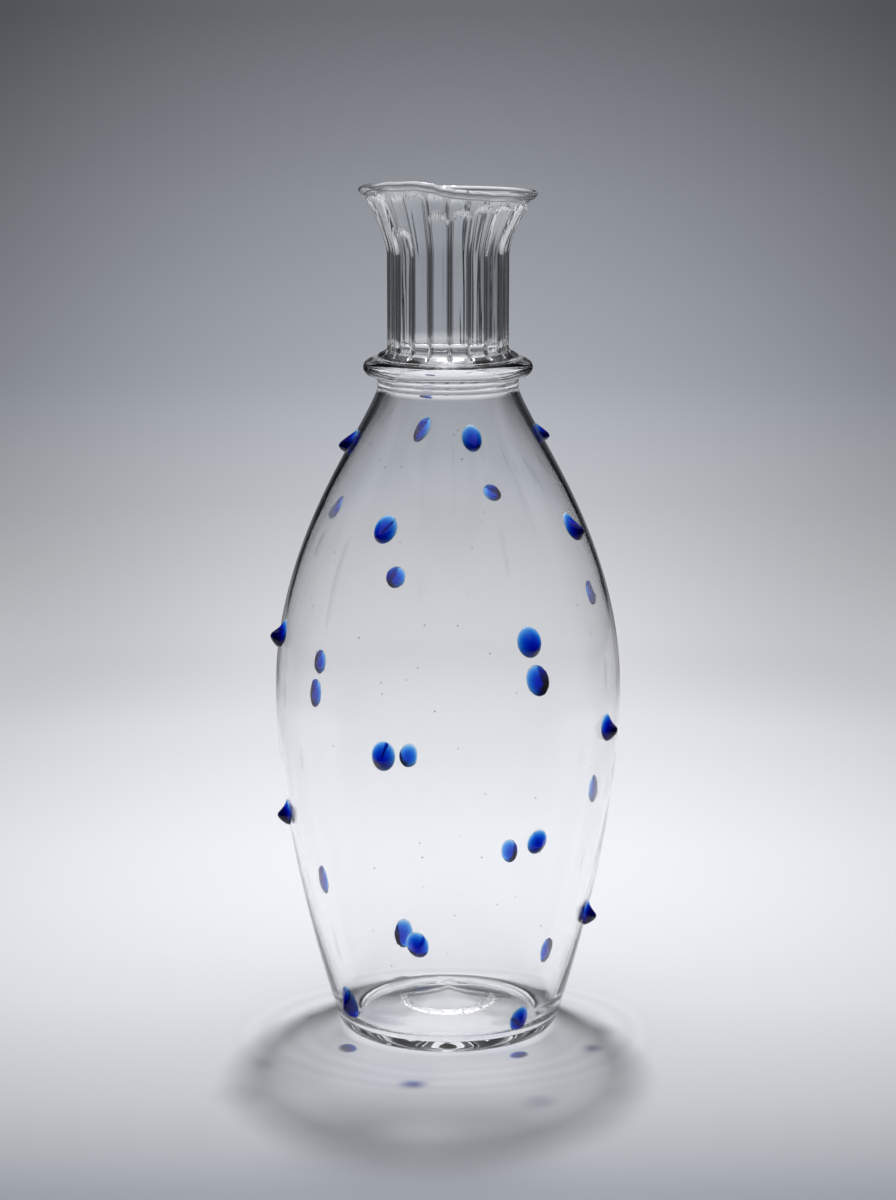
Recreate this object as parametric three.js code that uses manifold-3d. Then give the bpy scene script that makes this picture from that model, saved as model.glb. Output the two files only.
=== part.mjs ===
// A hand-blown glass carafe: an egg-shaped body on a pushed-up base, a ribbed neck with a flared
// mouth, a collar of one thick ring over two thin wound threads, and pointed cobalt drops.
// Millimetres, +Z up. The origin is on the axis, at the level of the foot. The front is -Y.
import * as THREE from 'three';
import { mergeVertices } from 'three/addons/utils/BufferGeometryUtils.js';
import Module from 'manifold-3d';

const wasm = await Module();
wasm.setup();

// Gap kept between two pieces that the maker fused together
const clearance = 0.3;

// Body, outside
const bodyHeight = 200.4;
const bellyRadius = 53.2;
const bellyHeight = 107;
const heelRadius = 35.5;
const heelHeight = 6;
const heelFlare = 0.35;
const heelRun = 3.3;
const heelRoundness = 0.6;
const fullnessBelow = 44;
const fullnessAbove = 46.3;
const shoulderRadius = 21.4;
const shoulderRun = 13.7;
const shoulderFlare = 0.334;
const throatRadius = 20.6;

// Foot: the flat ring that the carafe stands on, and the push-up inside it
const footRadius = 31.6;
const footWidth = 2.2;
const kickHeight = 9;
const kickRoundness = 1.15;

// Thickness of the body's glass
const heelWall = 2.6;
const bellyWall = 1.3;
const floorThickness = 3;
const floorRadius = 27.5;
const floorSpread = 2;
const floorFillet = 4.5;

// Collar
const threadHeight = 1.5;
const threadDepth = 0.9;
const ringHeight = 5.2;
const ringDepth = 5.1;
const bandEdgeShare = 0.25;

// Neck and mouth
const boreRadius = 16.4;
const neckRadius = 18.5;
const neckHeight = 31.2;
const neckFootRadius = 21.6;
const neckFootHeight = 2.9;
const neckFootFillet = 0.8;
const flareHeight = 16.6;
const flareSwell = 0.7;
const flareTurn = 7.5;
const mouthRadius = 26;
const mouthWall = 1.5;
const lipRadius = 0.9;
const lipLift = 1.35;

// The lip isn't level. Its rise in mm, by the turn from the front in degrees, grows up the flare
const lipRises = [
  [-180, 0], [-130, 0.3], [-90, 1.3], [-60, 2.9], [-40, 3.9], [-22, 4.3], [-11, 3.8], [-3, 2.7],
  [6, 2.0], [18, 1.5], [33, 0.9], [61, 0], [180, 0],
];
const riseStart = 3;

// Ribs on the neck
const ribCount = 20;
const ribDepth = 1.1;
const ribPhase = 1.5;
const ribSharpness = 0.6;
const ribFadeStart = 0.55;
const ribFadeEnd = 0.95;

// Scar of the rod that held the carafe while its mouth was made
const scarRadius = 13.6;
const scarWidth = 2.6;
const scarDepth = 0.7;
const scarEdgeDepth = 0.5;
const scarRoughness = 0.15;

// How far a hot drop's tip sags, as a share of its length, on an upright wall and on a sloping one
const sagUpright = 0.14;
const sagSloping = 0.45;

// Facets
const bodySides = 48;
const ringSides = 40;
const ringSteps = 9;
const threadSteps = 4;
const scarSides = 24;
const sidesPerRib = 4;
const pruntSides = 10;

// The drops, row by row from the top: the turn from the front towards the right in degrees, the
// height as a share of the body's, then width, length and how far the tip stands out, in mm, and
// the lean of the drop to the right in degrees
const prunts = [
  ['prunt_a1', 276, 0.922, 6.3, 7.9, 3.0, 0],
  ['prunt_a2', 15, 0.942, 6.2, 8.7, 2.3, 0],
  ['prunt_a3', 87, 0.935, 5.3, 6.3, 2.2, 0],
  ['prunt_a4', 197, 0.925, 5.1, 10.1, 1.5, -14],
  ['prunt_b1', 333, 0.814, 7.4, 9.0, 2.5, 12],
  ['prunt_b2', 63, 0.805, 6.4, 8.7, 3.5, -8],
  ['prunt_b3', 159, 0.815, 6.0, 6.6, 1.5, 20],
  ['prunt_b4', 242, 0.807, 5.6, 8.4, 2.5, -6],
  ['prunt_c1', 284, 0.6365, 6.9, 8.2, 4.0, 0],
  ['prunt_c2', 28, 0.654, 8.1, 9.4, 2.4, -8],
  ['prunt_c3', 113, 0.668, 6.0, 8.4, 2.5, -6],
  ['prunt_c4', 200, 0.666, 6.8, 7.9, 1.5, 8],
  ['prunt_d1', 339, 0.488, 7.5, 9.3, 2.3, 6],
  ['prunt_d2', 64, 0.503, 6.9, 8.0, 3.9, -3],
  ['prunt_d3', 146, 0.497, 8.9, 10.5, 1.9, 10],
  ['prunt_d4', 235, 0.492, 6.3, 9.4, 1.9, 0],
  ['prunt_e1', 283, 0.355, 6.4, 7.6, 3.8, -4],
  ['prunt_e2', 32, 0.348, 6.8, 7.8, 2.2, 14],
  ['prunt_e3', 109, 0.352, 6.2, 9.2, 2.2, 4],
  ['prunt_e4', 195, 0.366, 6.3, 7.8, 1.4, -4],
  ['prunt_f1', 348, 0.189, 6.9, 8.9, 2.3, -10],
  ['prunt_f2', 74, 0.196, 6.4, 7.6, 3.8, 4],
  ['prunt_f3', 153, 0.216, 6.1, 7.7, 1.4, 4],
  ['prunt_f4', 248, 0.200, 6.2, 9.6, 2.2, 3],
  ['prunt_g1', 307, 0.066, 7.0, 10.9, 3.2, -8],
  ['prunt_g2', 36, 0.051, 6.4, 8.5, 2.6, 8],
  ['prunt_g3', 119, 0.077, 6.6, 8.9, 2.2, -12],
  ['prunt_g4', 203, 0.081, 6.6, 9.6, 1.6, -8],
  ['prunt_extra', 232, 0.541, 5.8, 8.1, 2.0, 4],
];

// A drop in section: its half-width as a share of its base, against the share of its height
const pruntBelly = [[1, 0], [0.88, 0.14], [0.66, 0.38], [0.44, 0.66], [0.22, 0.92]];
const pruntRoot = 2;

// Levels of the collar's pieces, each a clearance above the last, and of the parts of the neck
const lowerThreadBase = bodyHeight + clearance;
const upperThreadBase = lowerThreadBase + threadHeight + clearance;
const ringBase = upperThreadBase + threadHeight + clearance;
const seamHeight = ringBase + ringHeight + clearance;
const collarRadius = throatRadius + clearance;
const flareBase = seamHeight + neckHeight;
const mouthHeight = flareBase + flareHeight;
const lipHeight = mouthHeight + lipLift;

const clearGlass = { color: 0xe6edf0, roughness: 0.03, metalness: 0, transparent: true, opacity: 0.35 };
const cobaltGlass = { color: 0x0b2fb8, roughness: 0.05, metalness: 0, transparent: true, opacity: 0.9 };
const scarGlass = { color: 0xdfe6ea, roughness: 0.35, metalness: 0, transparent: true, opacity: 0.5 };

// The outline of the body is two curves that meet upright at the belly
const lowerOutline = new THREE.CubicBezierCurve(
  new THREE.Vector2(heelRadius, heelHeight),
  new THREE.Vector2(heelRadius + heelRun * heelFlare, heelHeight + heelRun),
  new THREE.Vector2(bellyRadius, bellyHeight - fullnessBelow),
  new THREE.Vector2(bellyRadius, bellyHeight),
);
const upperOutline = new THREE.CubicBezierCurve(
  new THREE.Vector2(bellyRadius, bellyHeight),
  new THREE.Vector2(bellyRadius, bellyHeight + fullnessAbove),
  new THREE.Vector2(shoulderRadius + shoulderRun * shoulderFlare, bodyHeight - shoulderRun),
  new THREE.Vector2(shoulderRadius, bodyHeight),
);
const heelOutline = new THREE.QuadraticBezierCurve(
  new THREE.Vector2(footRadius, 0),
  new THREE.Vector2(heelRadius - heelHeight * heelFlare + heelRoundness, 0),
  new THREE.Vector2(heelRadius, heelHeight),
);

const blend = (from, to, share) => from + (to - from) * share;
const smooth = (share) => share * share * (3 - 2 * share);
const clampShare = (share) => Math.min(1, Math.max(0, share));

// The outline's point and outward normal at a height, found by halving
function outlineAt(height) {
  const curve = height < bellyHeight ? lowerOutline : upperOutline;
  let low = 0;
  let high = 1;
  for (let step = 0; step < 40; step += 1) {
    const middle = (low + high) / 2;
    if (curve.getPoint(middle).y < height) low = middle;
    else high = middle;
  }
  const tangent = curve.getTangent(low);
  return { radius: curve.getPoint(low).x, normal: new THREE.Vector2(tangent.y, -tangent.x) };
}

// Points of the body's outer wall from the heel to the shoulder, each with its outward normal
function wallPoints() {
  const points = [];
  const add = (curve, steps, first) => {
    for (let step = first; step <= steps; step += 1) {
      const at = curve.getPoint(step / steps);
      const tangent = curve.getTangent(step / steps);
      points.push({ at, normal: new THREE.Vector2(tangent.y, -tangent.x) });
    }
  };
  add(lowerOutline, 7, 0);
  add(upperOutline, 8, 1);
  return points;
}

// The glass is thick at the heel and the throat, and thin at the belly
function wallThickness(height) {
  const throatWall = throatRadius - boreRadius;
  if (height > bellyHeight) {
    return blend(bellyWall, throatWall * 0.8, ((height - bellyHeight) / (bodyHeight - bellyHeight)) ** 4);
  }
  return blend(bellyWall, heelWall, ((bellyHeight - height) / (bellyHeight - heelHeight)) ** 4);
}

// A profile of [radius, height] pairs, turned round the axis from the front towards the right
function turned(profile, sides) {
  const points = profile.map(([radius, height]) => new THREE.Vector2(radius, height));
  return new THREE.LatheGeometry(points, sides).rotateX(Math.PI / 2);
}

function solidOf(geometry) {
  const bare = geometry.clone();
  bare.deleteAttribute('normal');
  bare.deleteAttribute('uv');
  const merged = mergeVertices(bare, 1e-3);
  return new wasm.Manifold(new wasm.Mesh({
    numProp: 3,
    vertProperties: new Float32Array(merged.attributes.position.array),
    triVerts: new Uint32Array(merged.index.array),
  }));
}

function geometryOf(solid) {
  const mesh = solid.getMesh();
  const geometry = new THREE.BufferGeometry();
  geometry.setAttribute('position', new THREE.BufferAttribute(new Float32Array(mesh.vertProperties), 3));
  geometry.setIndex(new THREE.BufferAttribute(new Uint32Array(mesh.triVerts), 1));
  geometry.computeVertexNormals();
  return geometry;
}

function piece(name, geometry, look) {
  const mesh = new THREE.Mesh(geometry, new THREE.MeshStandardMaterial(look));
  mesh.name = name;
  return mesh;
}

// The push-up is a low cone with a rounded top, level at its reach
const kickAt = (radius, reach) => kickHeight * (1 - (radius / reach) ** kickRoundness);
const floorAt = (radius) => floorThickness + kickAt(radius, floorRadius + floorSpread);

// One blown shell: the pushed-up base, the wall, the throat, and back down inside to the floor
function bodyGeometry() {
  const wall = wallPoints();
  const kickReach = footRadius - footWidth;
  const profile = [];
  for (const share of [0, 0.25, 0.5, 0.75]) {
    profile.push([share * kickReach, kickAt(share * kickReach, kickReach)]);
  }
  profile.push([kickReach, 0]);
  for (const share of [0, 0.4, 0.7]) {
    profile.push(heelOutline.getPoint(share).toArray());
  }
  wall.forEach(({ at }) => profile.push(at.toArray()));
  profile.push([throatRadius, bodyHeight], [throatRadius, seamHeight], [boreRadius, seamHeight]);
  for (const { at, normal } of wall.reverse()) {
    const inward = wallThickness(at.y);
    const point = [at.x - normal.x * inward, at.y - normal.y * inward];
    if (point[1] > heelHeight + floorFillet) profile.push(point);
  }
  const corner = new THREE.QuadraticBezierCurve(
    new THREE.Vector2(outlineAt(heelHeight + floorFillet).radius - heelWall, heelHeight + floorFillet),
    new THREE.Vector2(heelRadius - heelWall, floorThickness),
    new THREE.Vector2(floorRadius, floorAt(floorRadius)),
  );
  corner.getPoints(3).forEach((point) => profile.push(point.toArray()));
  for (const share of [0.7, 0.4, 0]) profile.push([share * floorRadius, floorAt(share * floorRadius)]);
  return turned(profile, bodySides);
}

// The body's outside, filled and grown by the clearance: what the drops are cut back from
function grownBody() {
  const profile = [[0, 0]];
  profile.push([footRadius + clearance, 0]);
  wallPoints().forEach(({ at, normal }) => {
    profile.push([at.x + normal.x * clearance, at.y + normal.y * clearance]);
  });
  profile.push([0, bodyHeight + clearance]);
  return solidOf(turned(profile, bodySides));
}

// Rounded ribs with narrow valleys between them; 0 in a valley and 1 on a crest
function ribAt(angle) {
  const wave = Math.abs(Math.sin((ribCount * (angle - THREE.MathUtils.degToRad(ribPhase))) / 2));
  return wave ** ribSharpness;
}

function lipRise(angle) {
  const turn = THREE.MathUtils.radToDeg(angle);
  const next = lipRises.findIndex(([at]) => at >= turn);
  if (next < 1) return 0;
  const [start, low] = lipRises[next - 1];
  const [end, high] = lipRises[next];
  return blend(low, high, smooth((turn - start) / (end - start)));
}

// A ribbed tube on a small foot, which flares to the mouth and ends in a rounded lip
function neckGeometry() {
  const foot = new THREE.CubicBezierCurve(
    new THREE.Vector2(neckFootRadius, seamHeight),
    new THREE.Vector2(neckFootRadius, seamHeight + neckFootHeight / 2),
    new THREE.Vector2(neckRadius + neckFootFillet, seamHeight + neckFootHeight / 2),
    new THREE.Vector2(neckRadius, seamHeight + neckFootHeight),
  );
  const outside = foot.getPoints(3).map(({ x, y }, step) => [x, y, (step / 3) ** 2]);
  const flare = (inset) => new THREE.QuadraticBezierCurve(
    new THREE.Vector2(neckRadius - inset[0], flareBase),
    new THREE.Vector2(neckRadius + flareSwell - inset[0], flareBase + flareTurn),
    new THREE.Vector2(mouthRadius - inset[1], mouthHeight),
  );
  flare([0, 0]).getPoints(7).forEach(({ x, y }) => {
    const rise = (y - flareBase) / flareHeight;
    outside.push([x, y, 1 - smooth(clampShare((rise - ribFadeStart) / (ribFadeEnd - ribFadeStart)))]);
  });
  for (const degrees of [-20, 30, 80, 130, 180]) {
    const angle = THREE.MathUtils.degToRad(degrees);
    outside.push([mouthRadius + lipRadius * Math.cos(angle), lipHeight + lipRadius * Math.sin(angle), 0]);
  }
  const inside = [];
  flare([neckRadius - boreRadius, mouthWall]).getPoints(4).reverse().forEach(({ x, y }) => {
    inside.push([x, y, 0]);
  });
  inside.push([boreRadius, seamHeight, 0]);
  const profile = [...outside, ...inside, outside[0]];
  const geometry = turned(profile, ribCount * sidesPerRib);
  const position = geometry.attributes.position;
  for (let index = 0; index < position.count; index += 1) {
    const [radius, , weight] = profile[index % profile.length];
    const x = position.getX(index);
    const y = position.getY(index);
    const angle = Math.atan2(x, -y);
    const scale = 1 - (weight * ribDepth * (1 - ribAt(angle))) / radius;
    const z = position.getZ(index);
    const grown = smooth(clampShare((z - flareBase - riseStart) / (flareHeight - riseStart)));
    position.setXYZ(index, x * scale, y * scale, z + grown ** 1.5 * lipRise(angle));
  }
  return geometry;
}

// A wound band of glass: flat on the side that meets the throat, and rounded outside
function bandGeometry(base, height, depth, steps) {
  const profile = [[collarRadius, base]];
  for (let step = 0; step <= steps; step += 1) {
    const angle = blend(-Math.PI / 2, Math.PI / 2, step / steps);
    const reach = depth * blend(bandEdgeShare, 1, Math.cos(angle));
    profile.push([collarRadius + reach, base + (height / 2) * (1 + Math.sin(angle))]);
  }
  profile.push([collarRadius, base + height], [collarRadius, base]);
  return turned(profile, ringSides);
}

// A rough ring of broken glass under the push-up, which follows its slope
function scarGeometry() {
  const kickReach = footRadius - footWidth;
  const inner = scarRadius - scarWidth / 2;
  const outer = scarRadius + scarWidth / 2;
  const top = (radius) => kickAt(radius, kickReach) - clearance;
  const profile = [
    [inner, top(inner) - scarEdgeDepth],
    [scarRadius - scarWidth / 4, top(scarRadius) - scarDepth],
    [scarRadius + scarWidth / 4, top(scarRadius) - scarDepth],
    [outer, top(outer) - scarEdgeDepth],
    [outer, top(outer)],
    [inner, top(inner)],
    [inner, top(inner) - scarEdgeDepth],
  ];
  const geometry = turned(profile, scarSides);
  const position = geometry.attributes.position;
  for (let index = 0; index < position.count; index += 1) {
    const row = index % profile.length;
    if (row === 1 || row === 2) {
      const angle = Math.atan2(position.getX(index), -position.getY(index));
      const rough = Math.sin(3 * angle + 1) + 0.6 * Math.sin(7 * angle);
      position.setZ(index, position.getZ(index) + scarRoughness * rough);
    }
  }
  return geometry;
}

// One drop about its own axis, with its tip along +Z and sagging towards -Y
function dropGeometry(width, length, proud, sag) {
  const profile = [[0, -pruntRoot], [1, -pruntRoot]];
  pruntBelly.forEach(([reach, rise]) => profile.push([reach, rise * proud]));
  profile.push([0, proud]);
  const geometry = turned(profile, pruntSides);
  const position = geometry.attributes.position;
  for (let index = 0; index < position.count; index += 1) {
    const z = position.getZ(index);
    const x = (position.getX(index) * width) / 2;
    const y = (position.getY(index) * length) / 2 - (sag * length * Math.max(0, z)) / proud;
    position.setXYZ(index, x, y, z);
  }
  return geometry;
}

// The frame of a drop on the wall: across, up the slope, and outwards
function placeOn(turn, height, lean) {
  const { radius, normal } = outlineAt(height);
  const outwards = new THREE.Vector3(Math.sin(turn), -Math.cos(turn), 0);
  const across = new THREE.Vector3(Math.cos(turn), Math.sin(turn), 0);
  const axis = outwards.clone().multiplyScalar(normal.x).setZ(normal.y);
  const up = axis.clone().cross(across);
  const place = new THREE.Matrix4().makeBasis(across, up, axis);
  place.multiply(new THREE.Matrix4().makeRotationZ(-lean));
  return { place: place.setPosition(outwards.multiplyScalar(radius).setZ(height)), slope: normal.y };
}

function pruntMesh([name, turn, share, width, length, proud, lean], wall) {
  const { degToRad } = THREE.MathUtils;
  const { place, slope } = placeOn(degToRad(turn), share * bodyHeight, degToRad(lean));
  const sag = sagUpright + sagSloping * Math.max(0, slope);
  const drop = solidOf(dropGeometry(width, length, proud, sag).applyMatrix4(place));
  const proudPart = geometryOf(drop.subtract(wall));
  const mesh = piece(name, proudPart.applyMatrix4(place.clone().invert()), cobaltGlass);
  mesh.applyMatrix4(place);
  return mesh;
}

const vessel = new THREE.Group();
vessel.add(piece('body', bodyGeometry(), clearGlass));
vessel.add(piece('neck', neckGeometry(), clearGlass));
vessel.add(piece('pontil_scar', scarGeometry(), scarGlass));

const collar = new THREE.Group();
const ring = bandGeometry(ringBase, ringHeight, ringDepth, ringSteps);
const upperThread = bandGeometry(upperThreadBase, threadHeight, threadDepth, threadSteps);
const lowerThread = bandGeometry(lowerThreadBase, threadHeight, threadDepth, threadSteps);
collar.add(piece('collar_ring', ring, clearGlass));
collar.add(piece('collar_thread_upper', upperThread, clearGlass));
collar.add(piece('collar_thread_lower', lowerThread, clearGlass));

const drops = new THREE.Group();
const wall = grownBody();
prunts.forEach((row) => drops.add(pruntMesh(row, wall)));

const carafe = new THREE.Group();
carafe.add(vessel, collar, drops);
export default carafe;
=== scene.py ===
import math

import bpy
from mathutils import Matrix, Vector, noise
from mathutils.geometry import interpolate_bezier


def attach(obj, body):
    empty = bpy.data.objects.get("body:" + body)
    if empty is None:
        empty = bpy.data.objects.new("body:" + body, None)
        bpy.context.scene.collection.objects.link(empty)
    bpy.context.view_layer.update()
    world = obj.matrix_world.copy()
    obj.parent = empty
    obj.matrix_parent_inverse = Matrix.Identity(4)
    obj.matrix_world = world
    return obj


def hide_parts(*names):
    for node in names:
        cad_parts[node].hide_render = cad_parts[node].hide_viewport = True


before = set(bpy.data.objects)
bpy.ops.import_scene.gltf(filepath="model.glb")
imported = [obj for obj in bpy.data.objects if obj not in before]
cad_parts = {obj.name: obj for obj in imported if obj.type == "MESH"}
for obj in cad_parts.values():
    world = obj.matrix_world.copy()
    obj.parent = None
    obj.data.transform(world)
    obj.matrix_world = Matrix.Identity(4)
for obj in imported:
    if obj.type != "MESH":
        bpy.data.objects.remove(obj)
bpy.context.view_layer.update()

# A hand-blown glass carafe: an egg-shaped body on a pushed-up base, a ribbed neck with a flared
# mouth, a collar of one thick ring over two thin wound threads, and pointed cobalt drops.
# Sizes are in millimetres until a piece is made. The front is -Y, and a turn runs from the front
# towards the right.
MM = 0.001
FULL_TURN = 2 * math.pi

# Gap between two pieces that the maker fused together
SEAM = 0.03

# Body, outside
BODY_HEIGHT = 200.4
BELLY_RADIUS = 53.2
BELLY_HEIGHT = 107
HEEL_RADIUS = 35.5
HEEL_HEIGHT = 6
HEEL_FLARE = 0.35
HEEL_RUN = 3.3
HEEL_ROUNDNESS = 0.6
FULLNESS_BELOW = 44
FULLNESS_ABOVE = 46.3
SHOULDER_RADIUS = 21.4
SHOULDER_RUN = 13.7
SHOULDER_FLARE = 0.334
THROAT_RADIUS = 20.6

# Foot: the ring that the carafe stands on, and the push-up inside it
FOOT_RADIUS = 31.6
FOOT_WIDTH = 2.2
KICK_HEIGHT = 9
KICK_ROUNDNESS = 1.15

# Thickness of the body's glass
HEEL_WALL = 2.6
BELLY_WALL = 1.3
THROAT_WALL = 2.8
FLOOR_THICKNESS = 3
FLOOR_RADIUS = 27.5
FLOOR_SPREAD = 2
FLOOR_FILLET = 4.5

# Collar
THREAD_HEIGHT = 1.5
THREAD_DEPTH = 0.9
THREAD_GAP = 0.3
RING_HEIGHT = 5.2
RING_DEPTH = 5.1

# Neck and mouth
BORE_RADIUS = 16.4
NECK_RADIUS = 18.5
NECK_HEIGHT = 31.2
NECK_FOOT_RADIUS = 21.6
NECK_FOOT_HEIGHT = 2.9
NECK_FOOT_FILLET = 0.8
FLARE_HEIGHT = 16.6
FLARE_SWELL = 0.7
FLARE_TURN = 7.5
MOUTH_RADIUS = 26
MOUTH_WALL = 1.5
LIP_RADIUS = 0.9
LIP_LIFT = 1.35

# The lip isn't level. Its rise, by the turn from the front in degrees, and where on the flare the
# rise starts
LIP_RISES = [
    (-180, 0), (-130, 0.3), (-90, 1.3), (-60, 2.9), (-40, 3.9), (-22, 4.3), (-11, 3.8), (-3, 2.7),
    (6, 2.0), (18, 1.5), (33, 0.9), (61, 0), (180, 0),
]
HIGHEST_RISE = max(rise for _, rise in LIP_RISES)
RISE_START = 3

# Ribs on the neck. The tip's length is a share of the flare's height
RIB_COUNT = 20
RIB_DEPTH = 1.0
RIB_PHASE = 1.5
RIB_FLATNESS = 7
RIB_THINNING = 0.25
RIB_TIP_LENGTH = 0.15
RIB_TIP_RAGGED = 0.05

# How deep the valleys and the fine lines along the neck are, as shares of the ribs' depth
VALLEY_SHARE = 0.88
LINE_SHARE = 0.05
LINE_SPREAD = 0.035
LINES_ROUND = 22
LINES_UP = 0.04

# How much of the painted shade along a valley is gone halfway up the flare
VALLEY_SHADE_FADE = 0.75

# Where each rib ends, as a share of the flare's height, from the front towards the right
RIB_TIPS = [
    0.76, 0.86, 0.9, 0.93, 0.88, 0.84, 0.9, 0.82, 0.88, 0.8, 0.85, 0.9, 0.84, 0.88, 0.92, 0.93, 0.95,
    0.45, 0.95, 0.68,
]

# Scar of the rod that held the carafe while its mouth was made
SCAR_RADIUS = 13.6
SCAR_WIDTH = 2.6
SCAR_DEPTH = 0.7
CHIP_DEPTH = 0.4
COARSE_CHIPS = 700
FINE_CHIPS = 2100

# How far a hot drop's tip sags, as a share of its length, on an upright wall and on a sloping one
SAG_UPRIGHT = 0.14
SAG_SLOPING = 0.45

# How far the flank above the tip of the longest-drawn drop is hollowed, as a share of its length,
# the least of that share on any drop, and how far out the tips of the roundest and the
# longest-drawn drops stand
DRAG = 0.15
LEAST_DRAG = 0.1
ROUND_TIP = 2.7
DRAWN_TIP = 3.9

# How deep the body is opened under a drop, where the drop's rim starts as a share of its
# half-width, and how much less deep the opening is there
DENT_DEPTH = 0.2
RIM_START = 0.9
RIM_SHARE = 0.4

# The rise, as a share of a drop's own, up to which it belongs to the seat
SEAT_RISE = 0.02

# The drops, row by row from the top: the turn in degrees, the height as a share of the body's,
# then width, length and how far the tip stands out, and the lean to the right in degrees
PRUNTS = [
    ("prunt_a1", 276, 0.922, 6.3, 7.9, 3.0, 0),
    ("prunt_a2", 15, 0.942, 6.2, 8.7, 2.3, 0),
    ("prunt_a3", 87, 0.935, 5.3, 6.3, 2.2, 0),
    ("prunt_a4", 197, 0.925, 5.1, 10.1, 1.5, -14),
    ("prunt_b1", 333, 0.814, 7.4, 9.0, 2.5, 12),
    ("prunt_b2", 63, 0.805, 6.4, 8.7, 3.5, -8),
    ("prunt_b3", 159, 0.815, 6.0, 6.6, 1.5, 20),
    ("prunt_b4", 242, 0.807, 5.6, 8.4, 2.5, -6),
    ("prunt_c1", 284, 0.6365, 6.9, 8.2, 4.0, 0),
    ("prunt_c2", 28, 0.654, 8.1, 9.4, 2.4, -8),
    ("prunt_c3", 113, 0.668, 6.0, 8.4, 2.5, -6),
    ("prunt_c4", 200, 0.666, 6.8, 7.9, 1.5, 8),
    ("prunt_d1", 339, 0.488, 7.5, 9.3, 2.3, 6),
    ("prunt_d2", 64, 0.503, 6.9, 8.0, 3.9, -3),
    ("prunt_d3", 146, 0.497, 8.9, 10.5, 1.9, 10),
    ("prunt_d4", 235, 0.492, 6.3, 9.4, 1.9, 0),
    ("prunt_e1", 283, 0.355, 6.4, 7.6, 3.8, -4),
    ("prunt_e2", 32, 0.348, 6.8, 7.8, 2.2, 14),
    ("prunt_e3", 109, 0.352, 6.2, 9.2, 2.2, 4),
    ("prunt_e4", 195, 0.366, 6.3, 7.8, 1.4, -4),
    ("prunt_f1", 348, 0.189, 6.9, 8.9, 2.3, -10),
    ("prunt_f2", 74, 0.196, 6.4, 7.6, 3.8, 4),
    ("prunt_f3", 153, 0.216, 6.1, 7.7, 1.4, 4),
    ("prunt_f4", 248, 0.200, 6.2, 9.6, 2.2, 3),
    ("prunt_g1", 307, 0.066, 7.0, 10.9, 3.2, -8),
    ("prunt_g2", 36, 0.051, 6.4, 8.5, 2.6, 8),
    ("prunt_g3", 119, 0.077, 6.6, 8.9, 2.2, -12),
    ("prunt_g4", 203, 0.081, 6.6, 9.6, 1.6, -8),
    ("prunt_extra", 232, 0.541, 5.8, 8.1, 2.0, 4),
]

# A drop in section: half-width and rise, each as a share of the whole
DROP_SECTION = [
    (0, 0), (0.5, 0), (0.88, 0), (1, 0), (0.98, 0.06), (0.92, 0.15), (0.82, 0.28), (0.69, 0.44),
    (0.54, 0.61), (0.38, 0.78), (0.2, 0.94), (0, 1),
]

# Steps round the axis
BODY_STEPS = 192
STEPS_PER_RIB = 28
COLLAR_STEPS = 160
SCAR_STEPS = 180
DROP_STEPS = 32
ROOM_STEPS = 128

# Steps along the outlines
KICK_STEPS = 24
BEND_STEPS = 10
WALL_STEPS_BELOW = 34
WALL_STEPS_ABOVE = 40
FLOOR_STEPS = 22
TUBE_STEPS = 8
FLARE_STEPS_OUTSIDE = 44
FLARE_STEPS_INSIDE = 20
LIP_STEPS = 14
BAND_STEPS = (12, 12, 24)
SCAR_WIDTH_STEPS = 12
SWEEP_STEPS = 24

# Levels of the collar's pieces and of the parts of the neck
LOWER_THREAD_BASE = BODY_HEIGHT + THREAD_GAP
UPPER_THREAD_BASE = LOWER_THREAD_BASE + THREAD_HEIGHT + THREAD_GAP
RING_BASE = UPPER_THREAD_BASE + THREAD_HEIGHT + THREAD_GAP
SEAM_HEIGHT = RING_BASE + RING_HEIGHT + THREAD_GAP
FLARE_BASE = SEAM_HEIGHT + NECK_HEIGHT
MOUTH_HEIGHT = FLARE_BASE + FLARE_HEIGHT
LIP_HEIGHT = MOUTH_HEIGHT + LIP_LIFT

# The collar from below: each band's base, height and depth
BANDS = [
    (LOWER_THREAD_BASE, THREAD_HEIGHT, THREAD_DEPTH),
    (UPPER_THREAD_BASE, THREAD_HEIGHT, THREAD_DEPTH),
    (RING_BASE, RING_HEIGHT, RING_DEPTH),
]


def blend(start, end, share):
    return start + (end - start) * share


def smooth(share):
    share = min(1, max(0, share))
    return share * share * (3 - 2 * share)


def curve(start, pull_start, pull_end, end, steps):
    """Points of (radius, height) along a curve of four."""
    corners = [Vector((radius, height)) for radius, height in (start, pull_start, pull_end, end)]
    return [(point.x, point.y) for point in interpolate_bezier(*corners, steps + 1)]


def bow(start, corner, end, steps):
    """Points along a plain bow that leans on one corner."""
    pull_start = [blend(a, b, 2 / 3) for a, b in zip(start, corner)]
    pull_end = [blend(a, b, 2 / 3) for a, b in zip(end, corner)]
    return curve(start, pull_start, pull_end, end, steps)


def arc(centre, radius, first, last, steps):
    """Points round a centre, from one angle to another in degrees."""
    angles = [math.radians(blend(first, last, step / steps)) for step in range(steps + 1)]
    return [(centre[0] + radius * math.cos(a), centre[1] + radius * math.sin(a)) for a in angles]


def kick_at(radius, reach):
    """The push-up is a low cone with a rounded top, level at its reach."""
    return KICK_HEIGHT * (1 - (radius / reach) ** KICK_ROUNDNESS)


def floor_at(radius):
    return FLOOR_THICKNESS + kick_at(radius, FLOOR_RADIUS + FLOOR_SPREAD)


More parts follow.
